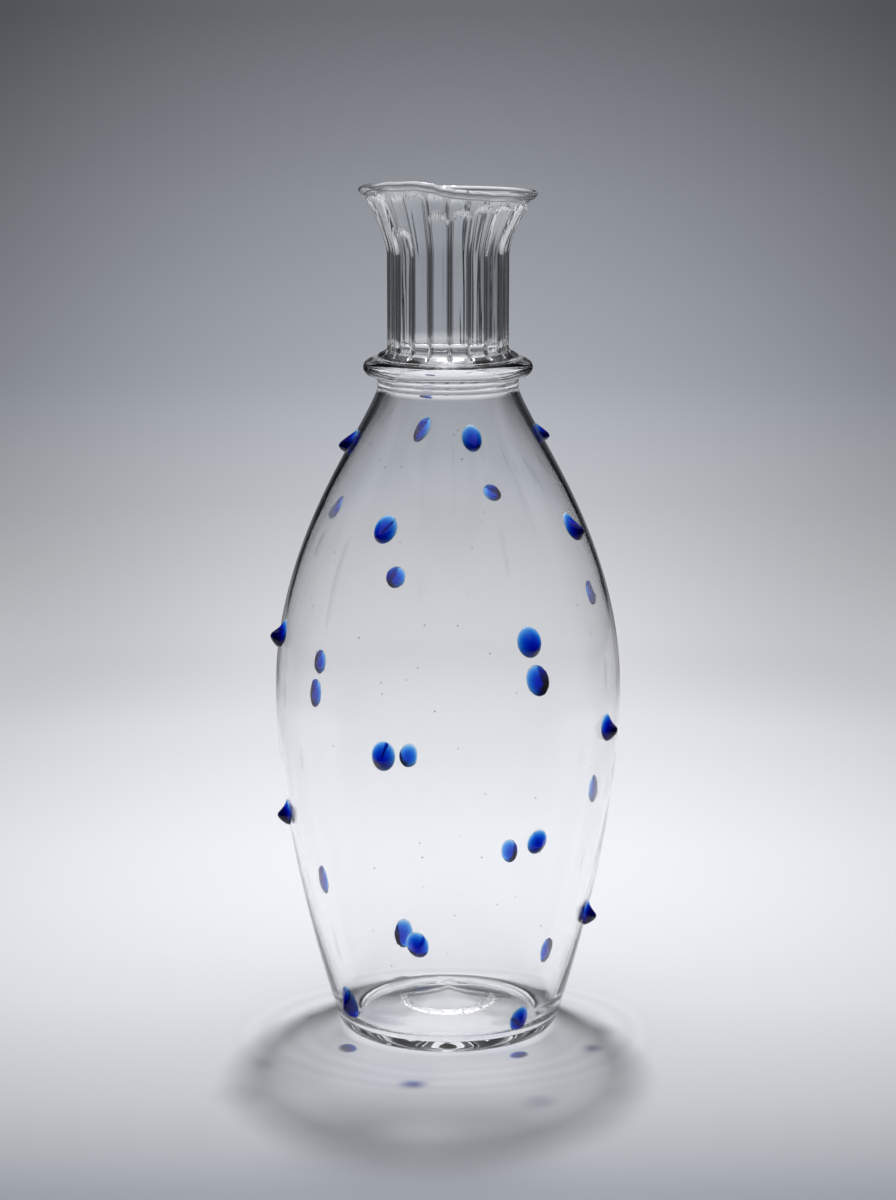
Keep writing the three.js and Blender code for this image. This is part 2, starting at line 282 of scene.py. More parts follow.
def body_wall():
    """The body's outer wall from the heel to the shoulder: two curves that meet at the belly."""
    heel = (HEEL_RADIUS, HEEL_HEIGHT)
    belly = (BELLY_RADIUS, BELLY_HEIGHT)
    shoulder = (SHOULDER_RADIUS, BODY_HEIGHT)
    heel_pull = (HEEL_RADIUS + HEEL_RUN * HEEL_FLARE, HEEL_HEIGHT + HEEL_RUN)
    shoulder_pull = (SHOULDER_RADIUS + SHOULDER_RUN * SHOULDER_FLARE, BODY_HEIGHT - SHOULDER_RUN)
    below = curve(heel, heel_pull, (BELLY_RADIUS, BELLY_HEIGHT - FULLNESS_BELOW), belly,
                  WALL_STEPS_BELOW)
    above = curve(belly, (BELLY_RADIUS, BELLY_HEIGHT + FULLNESS_ABOVE), shoulder_pull, shoulder,
                  WALL_STEPS_ABOVE)
    return below + above[1:]


def with_normals(points):
    """Each point of a line with its normal on the right-hand side."""
    found = []
    for index, point in enumerate(points):
        before = Vector(points[max(0, index - 1)])
        after = Vector(points[min(len(points) - 1, index + 1)])
        along = (after - before).normalized()
        found.append((Vector(point), Vector((along.y, -along.x))))
    return found


def wall_at(height):
    """The outer wall's point and outward normal at a height."""
    wall = with_normals(body_wall())
    for (low, low_normal), (high, high_normal) in zip(wall, wall[1:]):
        if low.y <= height <= high.y:
            share = (height - low.y) / (high.y - low.y)
            return low.lerp(high, share), low_normal.lerp(high_normal, share).normalized()
    raise ValueError("the wall has no point at that height")


def wall_thickness(height):
    """The glass is thick at the heel and the throat, and thin at the belly."""
    if height > BELLY_HEIGHT:
        share = (height - BELLY_HEIGHT) / (BODY_HEIGHT - BELLY_HEIGHT)
        return blend(BELLY_WALL, THROAT_WALL, share ** 4)
    share = (BELLY_HEIGHT - height) / (BELLY_HEIGHT - HEEL_HEIGHT)
    return blend(BELLY_WALL, HEEL_WALL, share ** 4)


def band_contact(base, height):
    """The levels between which a laid-on band touches the throat."""
    return base + height * 0.08, base + height * 0.92


def body_outline():
    """Out along the push-up, up the wall to the throat, and back down inside to the floor."""
    reach = FOOT_RADIUS - FOOT_WIDTH
    wall = body_wall()
    heel_corner = (HEEL_RADIUS - HEEL_HEIGHT * HEEL_FLARE + HEEL_ROUNDNESS, 0)
    kick_radii = [reach * step / KICK_STEPS for step in range(KICK_STEPS + 1)]
    outline = [(radius, kick_at(radius, reach)) for radius in kick_radii]
    outline += bow((FOOT_RADIUS, 0), heel_corner, wall[0], BEND_STEPS)
    outline += wall[1:]
    for base, height, _ in BANDS:
        outline += [(THROAT_RADIUS, level) for level in band_contact(base, height)]
    outline += [(THROAT_RADIUS, SEAM_HEIGHT - SEAM), (BORE_RADIUS, SEAM_HEIGHT - SEAM)]
    inside = []
    for point, normal in reversed(with_normals(wall)):
        inner = point - normal * wall_thickness(point.y)
        if inner.y > HEEL_HEIGHT + FLOOR_FILLET:
            inside.append((inner.x, inner.y))
    corner_height = HEEL_HEIGHT + FLOOR_FILLET
    corner_top = (wall_at(corner_height)[0].x - HEEL_WALL, corner_height)
    floor_edge = (FLOOR_RADIUS, floor_at(FLOOR_RADIUS))
    outline += inside
    outline += bow(corner_top, (HEEL_RADIUS - HEEL_WALL, FLOOR_THICKNESS), floor_edge, BEND_STEPS)
    floor_radii = [FLOOR_RADIUS * step / FLOOR_STEPS for step in range(FLOOR_STEPS - 1, -1, -1)]
    return outline + [(radius, floor_at(radius)) for radius in floor_radii]


def flare(outer_inset, mouth_inset, steps):
    """The neck's wall from the top of the tube to the lip, moved inwards by two insets."""
    foot = NECK_RADIUS - outer_inset
    return bow((foot, FLARE_BASE), (foot + FLARE_SWELL, FLARE_BASE + FLARE_TURN),
               (MOUTH_RADIUS - mouth_inset, MOUTH_HEIGHT), steps)


def neck_outline():
    """Up the foot, the tube and the flare, over the lip, and back down the bore."""
    foot_middle = SEAM_HEIGHT + NECK_FOOT_HEIGHT / 2
    tube_foot = (NECK_RADIUS, SEAM_HEIGHT + NECK_FOOT_HEIGHT)
    outline = curve((NECK_FOOT_RADIUS, SEAM_HEIGHT), (NECK_FOOT_RADIUS, foot_middle),
                    (NECK_RADIUS + NECK_FOOT_FILLET, foot_middle), tube_foot, BEND_STEPS)
    for step in range(1, TUBE_STEPS):
        outline.append((NECK_RADIUS, blend(tube_foot[1], FLARE_BASE, step / TUBE_STEPS)))
    outline += flare(0, 0, FLARE_STEPS_OUTSIDE)
    outline += arc((MOUTH_RADIUS, LIP_HEIGHT), LIP_RADIUS, -40, 200, LIP_STEPS)
    outline += list(reversed(flare(NECK_RADIUS - BORE_RADIUS, MOUTH_WALL, FLARE_STEPS_INSIDE)))
    for step in range(1, TUBE_STEPS + 1):
        outline.append((BORE_RADIUS, blend(FLARE_BASE, SEAM_HEIGHT, step / TUBE_STEPS)))
    return outline + [(THROAT_RADIUS, SEAM_HEIGHT), outline[0]]


def band_outline(base, height, depth, steps):
    """A laid-on band: flat where it meets the throat, and rounded outside."""
    inner = THROAT_RADIUS + SEAM
    centre = base + height / 2
    root = depth * 0.3
    bottom, top = band_contact(base, height)
    outline = [(inner, bottom)]
    for step in range(steps + 1):
        angle = blend(-math.pi / 2, math.pi / 2, step / steps)
        reach = root + (depth - root) * math.cos(angle) ** 0.85
        outline.append((inner + reach, centre + height / 2 * math.sin(angle)))
    return outline + [(inner, top), outline[0]]


def scar_outline():
    """The broken ring follows the slope of the push-up."""
    reach = FOOT_RADIUS - FOOT_WIDTH
    inner = SCAR_RADIUS - SCAR_WIDTH / 2
    outline = []
    for step in range(SCAR_WIDTH_STEPS + 1):
        radius = inner + SCAR_WIDTH * step / SCAR_WIDTH_STEPS
        bulge = SCAR_DEPTH * math.sin(math.pi * step / SCAR_WIDTH_STEPS) ** 0.5
        outline.append((radius, kick_at(radius, reach) - SEAM - bulge))
    for step in range(SCAR_WIDTH_STEPS, -1, -1):
        radius = inner + SCAR_WIDTH * step / SCAR_WIDTH_STEPS
        outline.append((radius, kick_at(radius, reach) - SEAM))
    return outline


def select_only(piece):
    bpy.ops.object.select_all(action="DESELECT")
    piece.select_set(True)
    bpy.context.view_layer.objects.active = piece


def turned(name, outline, steps, start=0):
    """An outline in millimetres, drawn point by point and spun once round the axis."""
    out = Vector((math.sin(start), -math.cos(start), 0))
    up = Vector((0, 0, 1))
    points = [(out * radius + up * height) * MM for radius, height in outline]
    bpy.ops.object.select_all(action="DESELECT")
    bpy.ops.mesh.primitive_plane_add(size=MM, location=points[0])
    piece = bpy.context.object
    piece.name = name
    piece.data.name = name
    bpy.ops.object.transform_apply(location=True, rotation=True, scale=True)
    bpy.ops.object.mode_set(mode="EDIT")
    bpy.ops.mesh.merge(type="CENTER")
    for here, there in zip(points, points[1:]):
        bpy.ops.mesh.extrude_vertices_move(TRANSFORM_OT_translate={"value": there - here})
    bpy.ops.mesh.select_all(action="SELECT")
    bpy.ops.mesh.spin(steps=steps, angle=FULL_TURN, center=(0, 0, 0), axis=(0, 0, 1))
    bpy.ops.mesh.select_all(action="SELECT")
    bpy.ops.mesh.remove_doubles(threshold=0.002 * MM)
    bpy.ops.mesh.normals_make_consistent(inside=False)
    bpy.ops.object.mode_set(mode="OBJECT")
    bpy.ops.object.shade_smooth()
    return piece


def weigh(piece, group, weight_of):
    """A vertex group whose weights follow a rule of each vertex."""
    made = piece.vertex_groups.new(name=group)
    for vertex in piece.data.vertices:
        weight = weight_of(vertex)
        if weight > 0:
            made.add([vertex.index], weight, "REPLACE")


def finish_with(piece, kind, **settings):
    """One modifier, set and applied."""
    select_only(piece)
    modifier = piece.modifiers.new(kind.lower(), kind)
    for name, value in settings.items():
        setattr(modifier, name, value)
    bpy.ops.object.modifier_apply(modifier=modifier.name)


def turn_of(place):
    return math.atan2(place.x, -place.y)


def faces_out(vertex):
    return vertex.normal.x * vertex.co.x + vertex.normal.y * vertex.co.y > 0


def rib_at(turn, height):
    """1 on a rib's crest and 0 in a valley. Each rib ends in a round tip under the lip."""
    pitch = FULL_TURN / RIB_COUNT
    number, across = divmod((turn - math.radians(RIB_PHASE)) / pitch, 1)
    rise = (height - FLARE_BASE) / FLARE_HEIGHT
    ragged = RIB_TIP_RAGGED * noise.noise(Vector((turn * 30, 0, 0)))
    tip = RIB_TIPS[int(number) % RIB_COUNT] + ragged
    end = max(0, (rise - tip + RIB_TIP_LENGTH) / RIB_TIP_LENGTH)
    reach = min(1, math.hypot(2 * across - 1, end))
    return 1 - reach ** RIB_FLATNESS


def valley_weight(vertex):
    """How deep the glass lies under a rib's crest, on the outside of the neck."""
    height = vertex.co.z / MM
    if not faces_out(vertex) or height > MOUTH_HEIGHT:
        return 0
    foot = smooth((height - SEAM_HEIGHT - 0.4) / 1.8)
    lip = 1 - smooth((height - MOUTH_HEIGHT + 0.8) / 0.8)
    turn = turn_of(vertex.co)
    drawn = 1 - RIB_THINNING * smooth((height - FLARE_BASE) / FLARE_HEIGHT)
    place = Vector((turn * LINES_ROUND, height * LINES_UP, 0))
    lines = LINE_SHARE + LINE_SPREAD * noise.noise(place)
    return foot * lip * (drawn * (1 - rib_at(turn, height)) * VALLEY_SHARE + lines)


def valley_line(vertex):
    """How much of the painted shade along a valley lies on a vertex. It fades out up the flare."""
    height = vertex.co.z / MM
    if not faces_out(vertex) or height > MOUTH_HEIGHT:
        return 0
    foot = smooth((height - SEAM_HEIGHT - 1.2) / 1.5)
    fade = 1 - VALLEY_SHADE_FADE * smooth((height - FLARE_BASE) / (FLARE_HEIGHT * 0.5))
    lip = 1 - smooth((height - MOUTH_HEIGHT + 4) / 3)
    return foot * fade * lip * (1 - rib_at(turn_of(vertex.co), height))


def lip_rise(turn):
    """The rise of the lip at a turn, in millimetres."""
    turn = math.degrees(turn)
    for (start, low), (end, high) in zip(LIP_RISES, LIP_RISES[1:]):
        if start <= turn <= end:
            return blend(low, high, smooth((turn - start) / (end - start)))
    return 0


def rise_weight(vertex):
    share = smooth((vertex.co.z / MM - FLARE_BASE - RISE_START) / (FLARE_HEIGHT - RISE_START))
    return share ** 1.5 * lip_rise(turn_of(vertex.co)) / HIGHEST_RISE


def make_neck():
    start = math.radians(RIB_PHASE)
    neck = turned("neck_glass", neck_outline(), RIB_COUNT * STEPS_PER_RIB, start)
    weigh(neck, "valleys", valley_weight)
    finish_with(neck, "DISPLACE", vertex_group="valleys", strength=-RIB_DEPTH * MM, mid_level=0)
    lines = [valley_line(vertex) for vertex in neck.data.vertices]
    weigh(neck, "rise", rise_weight)
    finish_with(neck, "DISPLACE", vertex_group="rise", direction="Z", strength=HIGHEST_RISE * MM,
                mid_level=0)
    # The painted shade along the valleys is kept on the neck for its glass's colour
    drawn = neck.data.attributes.new(name="valley_line", type="FLOAT", domain="POINT")
    for place, shade_amount in zip(drawn.data, lines):
        place.value = shade_amount
    return neck


def make_band(name, base, height, depth, steps):
    return turned(name, band_outline(base, height, depth, steps), COLLAR_STEPS)


def make_scar():
    scar = turned("pontil_scar_glass", scar_outline(), SCAR_STEPS)

    def roughness(vertex):
        coarse = noise.noise(vertex.co * COARSE_CHIPS)
        fine = noise.noise(vertex.co * FINE_CHIPS)
        return max(0, 0.5 + 0.45 * coarse + 0.3 * fine) if vertex.normal.z < -0.2 else 0

    weigh(scar, "broken", roughness)
    finish_with(scar, "DISPLACE", vertex_group="broken", direction="Z", strength=CHIP_DEPTH * MM,
                mid_level=0)
    return scar


def open_joint(piece, touches, breaks=True):
    """Where two pieces are fused, nothing shows: those faces are marked as a joint."""
    joint = piece.data.attributes.new(name="joint", type="FLOAT", domain="CORNER")
    for face in piece.data.polygons:
        if touches(face):
            for corner in face.loop_indices:
                joint.data[corner].value = 1
    if breaks:
        break_shading(piece, touches)


def break_shading(piece, touches):
    """The shading breaks where a joint meets the skin."""
    sides = {}
    for face in piece.data.polygons:
        touching = touches(face)
        for key in face.edge_keys:
            sides.setdefault(key, set()).add(touching)
    for edge in piece.data.edges:
        if len(sides[edge.key]) > 1:
            edge.use_edge_sharp = True


def throat_joint(face):
    """The body's faces under the collar's bands, and the seam with the neck."""
    radius = math.hypot(face.center.x, face.center.y) / MM
    height = face.center.z / MM
    if abs(height - SEAM_HEIGHT) < 0.1:
        return True
    on_throat = abs(radius - THROAT_RADIUS) < 0.05
    contacts = [band_contact(base, band_height) for base, band_height, _ in BANDS]
    return on_throat and any(low < height < high for low, high in contacts)


def neck_joint(face):
    """The neck's faces on the seam with the throat."""
    radius = math.hypot(face.center.x, face.center.y) / MM
    return abs(face.center.z / MM - SEAM_HEIGHT) < 0.02 and radius < THROAT_RADIUS


def band_joint(face):
    """The side of a band that touches the throat."""
    return abs(math.hypot(face.center.x, face.center.y) / MM - THROAT_RADIUS - SEAM) < 0.02


def cut_body_open(body, prunts):
    """The body's skin is opened under each drop by a cutter of the drop's shape, sunk a little.

    The shading round the openings is taken over from the whole body, so that no edge shows."""
    select_only(body)
    bpy.ops.object.duplicate(linked=False)
    whole = bpy.context.object
    cutters = []
    for prunt in prunts:
        select_only(prunt)
        bpy.ops.object.duplicate(linked=False)
        cutter = bpy.context.object
        finish_with(cutter, "DISPLACE", vertex_group="sunk", strength=DENT_DEPTH * MM,
                    mid_level=0)
        cutters.append(cutter)
    bpy.ops.object.select_all(action="DESELECT")
    for cutter in cutters:
        cutter.select_set(True)
    bpy.context.view_layer.objects.active = cutters[0]
    bpy.ops.object.join()
    finish_with(body, "BOOLEAN", operation="DIFFERENCE", object=cutters[0], solver="EXACT")
    bpy.data.objects.remove(cutters[0])
    finish_with(body, "DATA_TRANSFER", object=whole, use_loop_data=True,
                data_types_loops={"CUSTOM_NORMAL"}, loop_mapping="POLYINTERP_NEAREST")
    bpy.data.objects.remove(whole)


def flank_weight(vertex):
    """How much of the hollow above the tip lies on a vertex of the drop."""
    return math.sin(math.pi * min(1, max(0, vertex.co.z / MM)) ** 0.6)


def sunk_weight(vertex):
    """How much of the opening's depth lies on a vertex of the cutter."""
    if vertex.co.z > SEAT_RISE * MM:
        return 0
    return 1 if math.hypot(vertex.co.x, vertex.co.y) / MM < RIM_START else RIM_SHARE


def make_drop_pattern():
    """One drop at a size of one by one by one millimetre, which every drop is copied from."""
    pattern = turned("drop_pattern", DROP_SECTION, DROP_STEPS)
    finish_with(pattern, "SUBSURF", levels=1, render_levels=1)
    weigh(pattern, "tip", lambda vertex: vertex.co.z / MM)
    weigh(pattern, "flank", flank_weight)
    weigh(pattern, "seat", lambda vertex: 1 if vertex.co.z < SEAT_RISE * MM else 0)
    weigh(pattern, "sunk", sunk_weight)
    return pattern


def drop_place(turn, height, lean):
    """The frame of a drop on the wall, across, up the slope and outwards, and the wall's slope."""
    point, normal = wall_at(height)
    outwards = Vector((math.sin(turn), -math.cos(turn), 0))
    across = Vector((math.cos(turn), math.sin(turn), 0))
    axis = outwards * normal.x + Vector((0, 0, normal.y))
    slope_up = axis.cross(across)
    place = Matrix((across, slope_up, axis)).transposed().to_4x4()
    place.translation = (outwards * point.x + Vector((0, 0, point.y))) * MM
    return place @ Matrix.Rotation(-lean, 4, "Z"), normal.y


def make_prunt(pattern, body, row):
    """A copy of the drop, sized, sagged, set on the wall and pressed down onto it."""
    name, turn, level, width, length, proud, lean = row
    place, slope = drop_place(math.radians(turn), level * BODY_HEIGHT, math.radians(lean))
    sag = SAG_UPRIGHT + SAG_SLOPING * max(0, slope)
    drag = DRAG * max(LEAST_DRAG, smooth((proud - ROUND_TIP) / (DRAWN_TIP - ROUND_TIP)))
    select_only(pattern)
    bpy.ops.object.duplicate(linked=False)
    prunt = bpy.context.object
    prunt.name = name + "_glass"
    prunt.data.name = prunt.name
    prunt.scale = (width / 2, length / 2, proud)
    bpy.ops.object.transform_apply(location=True, rotation=True, scale=True)
    for group, share in (("tip", sag), ("flank", drag)):
        finish_with(prunt, "DISPLACE", vertex_group=group, direction="Y",
                    strength=-share * length * MM, mid_level=0)
    prunt.matrix_world = place
    bpy.ops.object.transform_apply(location=True, rotation=True, scale=True)
    finish_with(prunt, "SHRINKWRAP", vertex_group="seat", target=body,
                wrap_mode="ABOVE_SURFACE", offset=SEAM * MM)
    bpy.ops.object.shade_smooth()
    return prunt


class Wire:
    """A value on its way between two nodes. Arithmetic on it adds the nodes that work it out."""

    def __init__(self, finish, socket):
        self.finish = finish
        self.socket = socket

    def _maths(self, operation, first, second):
        return self.finish.node("ShaderNodeMath", {"operation": operation}, {0: first, 1: second})

    def __add__(self, other):
        return self._maths("ADD", self, other)

    def __radd__(self, other):
        return self._maths("ADD", other, self)

    def __sub__(self, other):
        return self._maths("SUBTRACT", self, other)

    def __rsub__(self, other):
        return self._maths("SUBTRACT", other, self)

    def __mul__(self, other):
        return self._maths("MULTIPLY", self, other)

    def __rmul__(self, other):
        return self._maths("MULTIPLY", other, self)

    def __truediv__(self, other):
        return self._maths("DIVIDE", self, other)

    def __rtruediv__(self, other):
        return self._maths("DIVIDE", other, self)

    def __pow__(self, other):
        return self._maths("POWER", self, other)


class Finish:
    """The nodes of one material, or of the world."""

    def __init__(self, tree):
        self.tree = tree
        self.tree.nodes.clear()

    def node(self, kind, settings, sockets, out=0):
        made = self.tree.nodes.new(kind)
        for name, value in settings.items():
            if name == "stops":
                self._set_stops(made.color_ramp.elements, value)
            else:
                setattr(made, name, value)
        for name, value in sockets.items():
            if isinstance(value, Wire):
                self.tree.links.new(value.socket, made.inputs[name])
            else:
                made.inputs[name].default_value = value
        return Wire(self, made.outputs[out]) if made.outputs else made

    def _set_stops(self, elements, stops):
        while len(elements) < len(stops):
            elements.new(1)
        for element, (position, colour) in zip(elements, stops):
            element.position = position
            element.color = (*colour, 1)

    def place(self):
        """Object coordinates."""
        return self.node("ShaderNodeTexCoord", {}, {}, out="Object")

    def numbers(self, vector):
        """The three numbers of a vector."""
        split = self.node("ShaderNodeSeparateXYZ", {}, {0: vector})
        return [Wire(self, output) for output in split.socket.node.outputs]

    def mix(self, share, first, second):
        """Two colours mixed by a share of the second."""
        return self.node("ShaderNodeMix", {"data_type": "RGBA"}, {0: share, 6: first, 7: second}, out=2)

    def larger(self, first, second):
        return self.node("ShaderNodeMath", {"operation": "MAXIMUM"}, {0: first, 1: second})

    def span(self, value, low, high, first=0.0, last=1.0):
        """A value read between two limits, and spread from first to last."""
        return self.node("ShaderNodeMapRange", {"interpolation_type": "SMOOTHSTEP"}, {
            "Value": value, "From Min": low, "From Max": high, "To Min": first, "To Max": last,
        })

    def ramp(self, value, low, high, stops):
        """A colour ramp whose stops lie between two limits of a value."""
        sockets = {"Value": value, "From Min": low, "From Max": high}
        share = self.node("ShaderNodeMapRange", {}, sockets)
        shares = [((at - low) / (high - low), colour) for at, colour in stops]
        return self.node("ShaderNodeValToRGB", {"stops": shares}, {0: share})


def new_material(name):
    material = bpy.data.materials.new(name)
    material.use_nodes = True
    return material, Finish(material.node_tree)


# Glass: how it bends light, and its colours
GLASS_IOR = 1.5
CLEAR_COLOUR = (0.99, 0.99, 0.99, 1)
SEED_COLOUR = (0.3, 0.3, 0.32, 1)
# Colour of the painted shade along the neck's valleys
VALLEY_SHADE_COLOUR = (0.2, 0.2, 0.18, 1)
SCAR_COLOUR = (0.95, 0.96, 0.97, 1)
DROP_COLOUR = (0.97, 0.98, 1.0, 1)
COBALT_COLOUR = (0.0, 0.55, 0.91, 1)
COBALT_DENSITY = 4900.0

# How much of the painted shade's colour the valleys take, and how matt the neck's foot is
VALLEY_SHADE_DEPTH = 0.9
FOOT_ROUGHNESS = 0.2

# How close together the seeds lie, and the size of one from its middle to its edge
SEED_SCALE = 120.0
SEED_SIZE = (0.028, 0.045)

# How much the fine streaks add to the slow waves of the surface
STREAK_SHARE = 0.25

# The share of light that a face of the glass passes on to the floor, from square on to edge on
LIGHT_PASSED = [
    (0, 1), (0.42, 0.99), (0.5, 0.84), (0.57, 0.86), (0.63, 0.97), (0.7, 0.72), (0.78, 0.78),
    (0.84, 0.4), (0.9, 0.3), (1, 0),
]


def glass_surface(finish, base_colour, roughness, normal):
    """Glass that lets light through to the floor, except where a wall stands edge on to the light."""
    glass = finish.node("ShaderNodeBsdfPrincipled", {}, {
        "Base Color": base_colour,
        "Roughness": roughness,
        "IOR": GLASS_IOR,
        "Transmission Weight": 1.0,
        "Alpha": 1 - finish.node("ShaderNodeAttribute", {"attribute_name": "joint"}, {}, out="Fac"),
        "Normal": normal,
    })
    facing = finish.node("ShaderNodeLayerWeight", {}, {"Blend": 0.5}, out="Facing")
    passing = finish.ramp(facing, 0, 1, [(at, (share, share, share)) for at, share in LIGHT_PASSED])
    passed = finish.node("ShaderNodeBsdfTransparent", {}, {"Color": passing})
    shadow = finish.node("ShaderNodeLightPath", {}, {}, out="Is Shadow Ray")
    return finish.node("ShaderNodeMixShader", {}, {0: shadow, 1: glass, 2: passed})


def clear_glass():
    """Colourless blown glass, with slow waves in its surface, a few seeds, and painted shade along the
    neck's valleys.
    """
    material, finish = new_material("clear_glass")
    vector = finish.place()
    waves = finish.node("ShaderNodeTexNoise", {}, {"Vector": vector, "Scale": 28.0, "Detail": 1.0})
    drawn = finish.node("ShaderNodeMapping", {}, {"Vector": vector, "Scale": (1.0, 1.0, 0.1)})
    streaks = finish.node("ShaderNodeTexNoise", {}, {"Vector": drawn, "Scale": 240.0, "Detail": 2.0})
    height = waves + streaks * STREAK_SHARE
    normal = finish.node("ShaderNodeBump", {}, {"Height": height, "Strength": 0.05, "Distance": 0.001})
    seed_distance = finish.node("ShaderNodeTexVoronoi", {}, {"Vector": vector, "Scale": SEED_SCALE})
    seeds = finish.span(seed_distance, *SEED_SIZE, 1, 0)
    colour = finish.mix(seeds, CLEAR_COLOUR, SEED_COLOUR)
    # The dark lines along the neck's valleys are painted shade, drawn in the glass's colour
    shade_amount = finish.node("ShaderNodeAttribute", {"attribute_name": "valley_line"}, {}, out="Fac")
    colour = finish.mix(shade_amount * VALLEY_SHADE_DEPTH, colour, VALLEY_SHADE_COLOUR)
    height_up = finish.numbers(vector)[2]
    foot_low = (SEAM_HEIGHT - SEAM / 2) * MM
    foot_high = (SEAM_HEIGHT + NECK_FOOT_HEIGHT) * MM
    below_tube = finish.span(height_up, foot_high - 0.5 * MM, foot_high, 1, 0)
    above_seam = finish.span(height_up, foot_low, foot_low + 0.01 * MM)
    surface = glass_surface(finish, colour, below_tube * above_seam * FOOT_ROUGHNESS, normal)
    finish.node("ShaderNodeOutputMaterial", {}, {"Surface": surface})
    return material


def scar_glass():
    """Glass broken off the rod: matt, with small chips."""
    material, finish = new_material("scar_glass")
    chips = finish.node("ShaderNodeTexNoise", {}, {"Vector": finish.place(), "Scale": 900.0, "Detail": 3.0})
    normal = finish.node("ShaderNodeBump", {}, {"Height": chips, "Strength": 0.35, "Distance": 0.0003})
    roughness = finish.span(chips, 0.35, 0.65, 0.05, 0.4)
    surface = glass_surface(finish, SCAR_COLOUR, roughness, normal)
    finish.node("ShaderNodeOutputMaterial", {}, {"Surface": surface})
    return material


def cobalt_glass():
    """Deep blue glass, pale where a drop is thin and nearly black where it is thick."""
    material, finish = new_material("cobalt_glass")
    waves = finish.node("ShaderNodeTexNoise", {}, {"Vector": finish.place(), "Scale": 220.0, "Detail": 1.0})
    normal = finish.node("ShaderNodeBump", {}, {"Height": waves, "Strength": 0.04, "Distance": 0.0004})
    surface = glass_surface(finish, DROP_COLOUR, 0.0, normal)
    depth = finish.node("ShaderNodeVolumeAbsorption", {}, {
        "Color": COBALT_COLOUR, "Density": COBALT_DENSITY,
    })
    finish.node("ShaderNodeOutputMaterial", {}, {"Surface": surface, "Volume": depth})
    return material


def dress(piece, material, slot, *nodes):
    piece.data.materials.append(material)
    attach(piece, "root")
    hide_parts(*nodes)


def seat_of(prunt):
    """Whether a face belongs to the side of a drop that touches the body."""
    seat = prunt.vertex_groups["seat"].index
    seated = {vertex.index for vertex in prunt.data.vertices if seat in [g.group for g in vertex.groups]}
    return lambda face: seated.issuperset(face.vertices)


def make_collar(clear):
    names = ("collar_thread_lower", "collar_thread_upper", "collar_ring")
    for name, (base, height, depth), steps in zip(names, BANDS, BAND_STEPS):
        band = make_band(name + "_glass", base, height, depth, steps)
        open_joint(band, band_joint, breaks=False)
        dress(band, clear, "clear_glass", name)


def make_drops(body, cobalt):
    pattern = make_drop_pattern()
    prunts = [make_prunt(pattern, body, row) for row in PRUNTS]
    bpy.data.objects.remove(pattern)
    cut_body_open(body, prunts)
    for row, prunt in zip(PRUNTS, prunts):
        open_joint(prunt, seat_of(prunt))
        dress(prunt, cobalt, "cobalt_glass", row[0])


def make_carafe():
    clear = clear_glass()
    body = turned("body_glass", body_outline(), BODY_STEPS)
    make_drops(body, cobalt_glass())
    open_joint(body, throat_joint, breaks=False)
    dress(body, clear, "clear_glass", "body")
    neck = make_neck()
    open_joint(neck, neck_joint, breaks=False)
    dress(neck, clear, "clear_glass", "neck")
    make_collar(clear)
    scar = make_scar()
    open_joint(scar, lambda face: False)
    dress(scar, scar_glass(), "clear_glass", "pontil_scar")


# Stage, in metres
FLOOR_EDGE = 0.6
FLOOR_DROP = 0.0001
SWEEP_FOOT = 1.6
SWEEP_TOP = 2.2
SIDE_SPREAD = 6.2
SIDE_LEAST = 0.72
MIRRORED_SHARE = 0.15

# Pools of light round the room, dark strips between them, and a dark gap at each side of the back.
# Turns are in radians from the back, and reaches run out along the floor and then up
POOLS = 8
POOL_DEPTHS = [(0.6, 0.3), (2.43, 0.84), (4.4, 0.0)]
STRIP_DEPTH = 0.5
STRIP_EDGE = (0.72, 0.97)
STRIP_REACH = (1.1, 1.8)
GAP_DEPTH = 0.65
GAP_START = (0.28, 0.38)
GAP_END = (1.1, 1.25)
GAP_REACH = (1.08, 1.25)

# The room is dark in front, so that the glass mirrors no veil over what is behind it
FRONT_SHARE = 0.08
FRONT_SPAN = (-0.3, 0.3)
SKY_SPAN = (-0.3, 0.25)

# Rings of gathered light on the floor, painted into its colour
FOOT_GLOW = 1.45
FOOT_GLOW_EDGE = (0.03, 0.037)
RINGS_BACK = 0.012
RINGS_SQUEEZE = 1.3
RINGS_START = (0.036, 0.042)
RINGS_END = (0.056, 0.072)
RINGS_WANDER = 0.006
RING_SPACING = 0.0085
RING_STRENGTH = 0.035

# How much brighter the floor is painted where it is seen through the glass, for the light that also comes
# off the glass's front
BEHIND_GLASS = 0.08

# The backdrop's tone in the middle: along the floor from front to back, and then out and up
FLOOR_TONES = [
    (-0.60, 0.04), (-0.3, 0.12), (-0.17, 0.4), (-0.142, 0.447), (-0.113, 0.546), (-0.073, 0.665),
    (-0.03, 0.75), (0.017, 0.835), (0.07, 0.873), (0.128, 0.883), (0.193, 0.866), (0.267, 0.81),
    (0.35, 0.755), (0.445, 0.722), (0.52, 0.735), (0.6, 0.745),
]
SWEEP_TONES = [
    (0.6, 0.745), (0.77, 0.655), (0.833, 0.625), (1.014, 0.55), (1.511, 0.445), (1.886, 0.36),
    (2.104, 0.295), (2.285, 0.22), (2.367, 0.183), (2.429, 0.155), (2.8, 0.16), (3.5, 0.5), (4.4, 0.98),
]
SKY_TONE = 1.02
SKY_COLOUR = (0.97, 0.99, 1.0, 1)
WORLD_TONE = 0.35
LAMP_POWER = 9.6
LAMP_SIZE = 0.13
LAMP_PLACE = (0.025, 0.42, 1.1)
LAMP_TARGET = (0, 0.05, 0.05)

# Camera: its place, how far it looks down in degrees, and its lens and film in millimetres
CAMERA_PLACE = (0, -0.918, 0.3162)
CAMERA_DIP = 11.18
CAMERA_LENS = 91.2
CAMERA_FILM = 36


def tinted(tone):
    """The greys of the room are a little blue, and more so where they are dark."""
    cool = smooth((0.58 - tone) / 0.1)
    red = 0.985 - 0.035 * cool
    green = 0.995 + 0.012 * cool
    blue = 1.05 + 0.065 * cool
    return tone * red, tone * green, tone * blue


